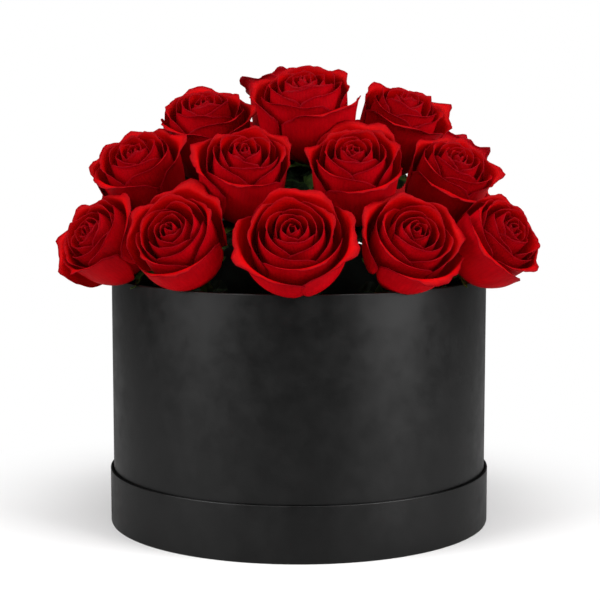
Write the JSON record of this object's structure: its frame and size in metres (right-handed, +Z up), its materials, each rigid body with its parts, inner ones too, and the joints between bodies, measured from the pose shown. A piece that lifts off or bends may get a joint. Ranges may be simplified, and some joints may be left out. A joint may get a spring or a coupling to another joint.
{
  "type": "flower box",
  "caption": "Round black paper-covered hat box standing in its own lid, with a lift-out foam liner that holds a dome of long-stemmed red roses.",
  "frame": {"origin": "middle of the underside of the lid, which the box stands on", "axes": "+Z up along the box's axis, -Y towards the front that the picture shows, +X to its right"},
  "size_m": [0.2944, 0.2958, 0.2897],
  "materials": {
    "black_paper": "matte black covering paper, faintly mottled",
    "grey_board": "grey recycled board",
    "lining_paper": "smooth black lining paper",
    "liner_plastic": "thin moulded black tub",
    "wet_foam": "fine-celled wet green foam",
    "red_petal": "velvety red petal with fine veins",
    "green_stem": "waxy green stem, hip and sepals"
  },
  "bodies": {
    "lid": {"lid_face": "black_paper", "lid_disc": "grey_board", "lid_rim": "grey_board", "lid_wrap": "black_paper"},
    "box": {"box_base_sheet": "black_paper", "box_floor": "grey_board", "box_wall": "grey_board", "box_wrap": "black_paper", "box_lining": "lining_paper"},
    "insert": {"liner": "liner_plastic", "foam_block": "wet_foam", "foam_mound": "wet_foam"},
    "rose_01": {"rose_01_bloom": "red_petal", "rose_01_stem": "green_stem"},
    "rose_02": {"rose_02_bloom": "red_petal", "rose_02_stem": "green_stem"},
    "rose_03": {"rose_03_bloom": "red_petal", "rose_03_stem": "green_stem"},
    "rose_04": {"rose_04_bloom": "red_petal", "rose_04_stem": "green_stem"},
    "rose_05": {"rose_05_bloom": "red_petal", "rose_05_stem": "green_stem"},
    "rose_06": {"rose_06_bloom": "red_petal", "rose_06_stem": "green_stem"},
    "rose_07": {"rose_07_bloom": "red_petal", "rose_07_stem": "green_stem"},
    "rose_08": {"rose_08_bloom": "red_petal", "rose_08_stem": "green_stem"},
    "rose_09": {"rose_09_bloom": "red_petal", "rose_09_stem": "green_stem"},
    "rose_10": {"rose_10_bloom": "red_petal", "rose_10_stem": "green_stem"},
    "rose_11": {"rose_11_bloom": "red_petal", "rose_11_stem": "green_stem"},
    "rose_12": {"rose_12_bloom": "red_petal", "rose_12_stem": "green_stem"},
    "rose_13": {"rose_13_bloom": "red_petal", "rose_13_stem": "green_stem"},
    "rose_14": {"rose_14_bloom": "red_petal", "rose_14_stem": "green_stem"},
    "rose_15": {"rose_15_bloom": "red_petal", "rose_15_stem": "green_stem"},
    "rose_16": {"rose_16_bloom": "red_petal", "rose_16_stem": "green_stem"},
    "rose_17": {"rose_17_bloom": "red_petal", "rose_17_stem": "green_stem"},
    "rose_18": {"rose_18_bloom": "red_petal", "rose_18_stem": "green_stem"},
    "rose_19": {"rose_19_bloom": "red_petal", "rose_19_stem": "green_stem"},
    "rose_20": {"rose_20_bloom": "red_petal", "rose_20_stem": "green_stem"},
    "rose_21": {"rose_21_bloom": "red_petal", "rose_21_stem": "green_stem"},
    "rose_22": {"rose_22_bloom": "red_petal", "rose_22_stem": "green_stem"},
    "rose_23": {"rose_23_bloom": "red_petal", "rose_23_stem": "green_stem"},
    "rose_24": {"rose_24_bloom": "red_petal", "rose_24_stem": "green_stem"}
  },
  "joints": [
    {"name": "box_lift", "type": "slide", "parent": "lid", "child": "box", "axis": [0, 0, 1], "range_m": [0, 0.04]},
    {"name": "insert_lift", "type": "slide", "parent": "box", "child": "insert", "axis": [0, 0, 1], "range_m": [0, 0.165]},
    {"name": "rose_01_pull", "type": "slide", "parent": "insert", "child": "rose_01", "axis": [-0.7364, -0.3361, 0.5872], "range_m": [0, 0.04]},
    {"name": "rose_02_pull", "type": "slide", "parent": "insert", "child": "rose_02", "axis": [-0.5327, -0.5729, 0.6229], "range_m": [0, 0.04]},
    {"name": "rose_03_pull", "type": "slide", "parent": "insert", "child": "rose_03", "axis": [-0.0172, -0.7764, 0.6301], "range_m": [0, 0.04]},
    {"name": "rose_04_pull", "type": "slide", "parent": "insert", "child": "rose_04", "axis": [0.4955, -0.5957, 0.6321], "range_m": [0, 0.04]},
    {"name": "rose_05_pull", "type": "slide", "parent": "insert", "child": "rose_05", "axis": [0.7336, -0.3701, 0.57], "range_m": [0, 0.04]},
    {"name": "rose_06_pull", "type": "slide", "parent": "insert", "child": "rose_06", "axis": [-0.6661, -0.1143, 0.7371], "range_m": [0, 0.04]},
    {"name": "rose_07_pull", "type": "slide", "parent": "insert", "child": "rose_07", "axis": [-0.3331, -0.3792, 0.8633], "range_m": [0, 0.04]},
    {"name": "rose_08_pull", "type": "slide", "parent": "insert", "child": "rose_08", "axis": [0.2998, -0.3808, 0.8747], "range_m": [0, 0.04]},
    {"name": "rose_09_pull", "type": "slide", "parent": "insert", "child": "rose_09", "axis": [0.6443, -0.1289, 0.7538], "range_m": [0, 0.04]},
    {"name": "rose_10_pull", "type": "slide", "parent": "insert", "child": "rose_10", "axis": [0.0494, -0.0891, 0.9948], "range_m": [0, 0.04]},
    {"name": "rose_11_pull", "type": "slide", "parent": "insert", "child": "rose_11", "axis": [-0.4429, 0.0964, 0.8914], "range_m": [0, 0.04]},
    {"name": "rose_12_pull", "type": "slide", "parent": "insert", "child": "rose_12", "axis": [0.3704, 0.1365, 0.9188], "range_m": [0, 0.04]},
    {"name": "rose_13_pull", "type": "slide", "parent": "insert", "child": "rose_13", "axis": [-0.7374, 0.0133, 0.6753], "range_m": [0, 0.04]},
    {"name": "rose_14_pull", "type": "slide", "parent": "insert", "child": "rose_14", "axis": [0.7364, 0.3361, 0.5872], "range_m": [0, 0.04]},
    {"name": "rose_15_pull", "type": "slide", "parent": "insert", "child": "rose_15", "axis": [0.5327, 0.5729, 0.6229], "range_m": [0, 0.04]},
    {"name": "rose_16_pull", "type": "slide", "parent": "insert", "child": "rose_16", "axis": [0.0172, 0.7764, 0.6301], "range_m": [0, 0.04]},
    {"name": "rose_17_pull", "type": "slide", "parent": "insert", "child": "rose_17", "axis": [-0.4955, 0.5957, 0.6321], "range_m": [0, 0.04]},
    {"name": "rose_18_pull", "type": "slide", "parent": "insert", "child": "rose_18", "axis": [-0.7336, 0.3701, 0.57], "range_m": [0, 0.04]},
    {"name": "rose_19_pull", "type": "slide", "parent": "insert", "child": "rose_19", "axis": [0.6661, 0.1143, 0.7371], "range_m": [0, 0.04]},
    {"name": "rose_20_pull", "type": "slide", "parent": "insert", "child": "rose_20", "axis": [0.3331, 0.3792, 0.8633], "range_m": [0, 0.04]},
    {"name": "rose_21_pull", "type": "slide", "parent": "insert", "child": "rose_21", "axis": [-0.2998, 0.3808, 0.8747], "range_m": [0, 0.04]},
    {"name": "rose_22_pull", "type": "slide", "parent": "insert", "child": "rose_22", "axis": [-0.6443, 0.1289, 0.7538], "range_m": [0, 0.04]},
    {"name": "rose_23_pull", "type": "slide", "parent": "insert", "child": "rose_23", "axis": [-0.0494, 0.0891, 0.9948], "range_m": [0, 0.04]},
    {"name": "rose_24_pull", "type": "slide", "parent": "insert", "child": "rose_24", "axis": [0.7374, -0.0133, 0.6753], "range_m": [0, 0.04]}
  ]
}
